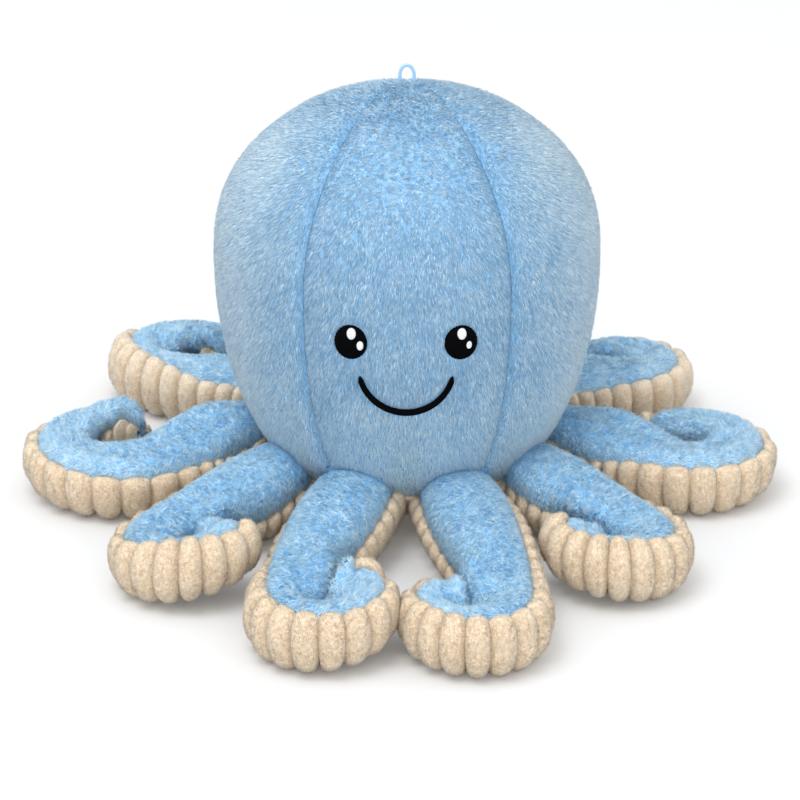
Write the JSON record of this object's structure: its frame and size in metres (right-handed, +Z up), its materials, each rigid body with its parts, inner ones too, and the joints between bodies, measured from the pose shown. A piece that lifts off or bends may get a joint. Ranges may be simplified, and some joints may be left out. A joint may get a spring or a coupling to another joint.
{
  "type": "plush octopus",
  "caption": "Stuffed toy octopus with a round gored head, curled arms with ribbed undersides, stitched eyes and smile, a flat base and a cord loop on the crown.",
  "frame": {"origin": "middle of the base panel, on the surface that the toy stands on", "axes": "+Z up, the face looks toward -Y, +X to the right of someone who looks the toy in the face"},
  "size_m": [0.3439, 0.3461, 0.1907],
  "materials": {
    "head_plush": "short soft pile, sky blue",
    "arm_plush": "longer fluffy pile, sky blue",
    "ribbed_plush": "ribbed velvety pile, cream",
    "base_fabric": "flat pile, cream",
    "fibre_fill": "loose polyester fibre",
    "black_thread": "satin stitch, slight sheen",
    "white_thread": "satin stitch, slight sheen",
    "cord": "thin twisted cord, sky blue"
  },
  "bodies": {
    "head": {"gore_face": "head_plush", "gore_right": "head_plush", "gore_back_right": "head_plush", "gore_back_left": "head_plush", "gore_left": "head_plush", "head_stuffing": "fibre_fill", "base_panel": "base_fabric", "eye_left": "black_thread", "eye_left_highlight": "white_thread", "eye_left_spark": "white_thread", "eye_right": "black_thread", "eye_right_highlight": "white_thread", "eye_right_spark": "white_thread", "smile": "black_thread"},
    "arm_front_left": {"arm_front_left_top": "arm_plush", "arm_front_left_underside": "ribbed_plush", "arm_front_left_stuffing": "fibre_fill"},
    "arm_front_right": {"arm_front_right_top": "arm_plush", "arm_front_right_underside": "ribbed_plush", "arm_front_right_stuffing": "fibre_fill"},
    "arm_side_front_right": {"arm_side_front_right_top": "arm_plush", "arm_side_front_right_underside": "ribbed_plush", "arm_side_front_right_stuffing": "fibre_fill"},
    "arm_side_back_right": {"arm_side_back_right_top": "arm_plush", "arm_side_back_right_underside": "ribbed_plush", "arm_side_back_right_stuffing": "fibre_fill"},
    "arm_back_right": {"arm_back_right_top": "arm_plush", "arm_back_right_underside": "ribbed_plush", "arm_back_right_stuffing": "fibre_fill"},
    "arm_back_left": {"arm_back_left_top": "arm_plush", "arm_back_left_underside": "ribbed_plush", "arm_back_left_stuffing": "fibre_fill"},
    "arm_side_back_left": {"arm_side_back_left_top": "arm_plush", "arm_side_back_left_underside": "ribbed_plush", "arm_side_back_left_stuffing": "fibre_fill"},
    "arm_side_front_left": {"arm_side_front_left_top": "arm_plush", "arm_side_front_left_underside": "ribbed_plush", "arm_side_front_left_stuffing": "fibre_fill"},
    "loop": {"hanging_loop": "cord"}
  },
  "joints": [
    {"name": "front_left_arm_lift", "type": "hinge", "parent": "head", "child": "arm_front_left", "pos_m": [-0.02794, -0.06744, 0.0383], "axis": [-1, 0, 0], "range_deg": [-10, 60]},
    {"name": "front_right_arm_lift", "type": "hinge", "parent": "head", "child": "arm_front_right", "pos_m": [0.02794, -0.06744, 0.0383], "axis": [-1, 0, 0], "range_deg": [-10, 60]},
    {"name": "side_front_right_arm_lift", "type": "hinge", "parent": "head", "child": "arm_side_front_right", "pos_m": [0.06744, -0.02794, 0.0383], "axis": [-0.3827, -0.9239, 0], "range_deg": [-10, 60]},
    {"name": "side_back_right_arm_lift", "type": "hinge", "parent": "head", "child": "arm_side_back_right", "pos_m": [0.06744, 0.02794, 0.0383], "axis": [0.3827, -0.9239, 0], "range_deg": [-10, 60]},
    {"name": "back_right_arm_lift", "type": "hinge", "parent": "head", "child": "arm_back_right", "pos_m": [0.02794, 0.06744, 0.0383], "axis": [0.9239, -0.3827, 0], "range_deg": [-10, 60]},
    {"name": "back_left_arm_lift", "type": "hinge", "parent": "head", "child": "arm_back_left", "pos_m": [-0.02794, 0.06744, 0.0383], "axis": [0.9239, 0.3827, 0], "range_deg": [-10, 60]},
    {"name": "side_back_left_arm_lift", "type": "hinge", "parent": "head", "child": "arm_side_back_left", "pos_m": [-0.06744, 0.02794, 0.0383], "axis": [0.3827, 0.9239, 0], "range_deg": [-10, 60]},
    {"name": "side_front_left_arm_lift", "type": "hinge", "parent": "head", "child": "arm_side_front_left", "pos_m": [-0.06744, -0.02794, 0.0383], "axis": [-0.3827, 0.9239, 0], "range_deg": [-10, 60]},
    {"name": "hanging_loop_flop", "type": "hinge", "parent": "head", "child": "loop", "pos_m": [0, 0.0491, 0.184], "axis": [1, 0, 0], "range_deg": [-70, 70]}
  ]
}
